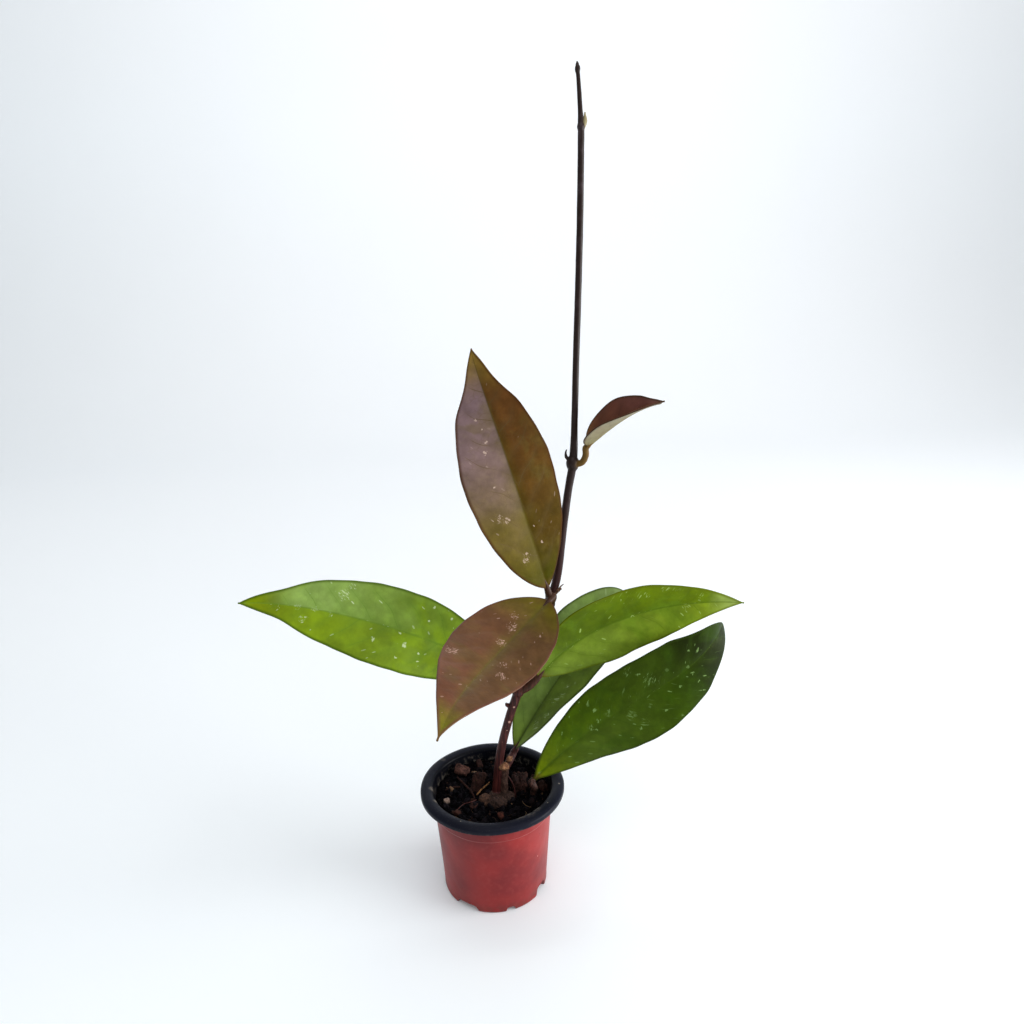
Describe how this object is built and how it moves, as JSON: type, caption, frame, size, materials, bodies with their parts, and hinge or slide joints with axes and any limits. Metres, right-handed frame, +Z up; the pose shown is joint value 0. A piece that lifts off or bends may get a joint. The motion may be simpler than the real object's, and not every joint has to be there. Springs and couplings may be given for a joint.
{
  "type": "potted hoya plant",
  "caption": "Young potted wax vine: tall thin stem, long waxy green and bronze leaves on short stalks, in a small round nursery pot filled with dark potting mix.",
  "frame": {"origin": "middle of the pot's underside, on the surface that the pot stands on", "axes": "+Z up along the pot's axis and the vine; +X to the right and -Y towards the viewer, as in the reference view"},
  "size_m": [0.2692, 0.1656, 0.444],
  "materials": {
    "pot": "satin brick-red plastic outside, black inside and on the rolled rim",
    "soil": "moist dark potting mix, crumbly",
    "vine": "smooth dark red-brown stem, corky at the foot",
    "stalk": "dull corky brown stalk",
    "leaf_bright_green": "waxy bright green leaf with silvery flecks",
    "leaf_dark_green": "waxy dark green leaf with pale flecks",
    "leaf_bronze": "waxy bronze leaf with pink flecks",
    "leaf_maroon": "waxy maroon young leaf, pale green underneath",
    "bark": "rough dry bark",
    "root_tan": "dry pale root",
    "grit": "dull pale pebble"
  },
  "bodies": {
    "root": {"pot": "pot", "soil": "soil", "vine": "vine", "front_stalk": "stalk", "leaf_left": "leaf_bright_green", "leaf_right": "leaf_bright_green", "leaf_rear": "leaf_dark_green", "leaf_front": "leaf_dark_green", "leaf_lower_bronze": "leaf_bronze", "leaf_upper_bronze": "leaf_bronze", "leaf_young": "leaf_maroon", "bark_chunk": "bark", "bark_chunk_small": "bark", "bark_chip_upright": "bark", "bark_chip_back": "bark", "bark_chip_left": "bark", "bark_chip_front": "bark", "bark_chip_red": "bark", "bark_chip_far": "bark", "pebble": "grit", "pale_root": "root_tan", "twig_long": "bark", "twig_short": "bark"}
  },
  "joints": []
}
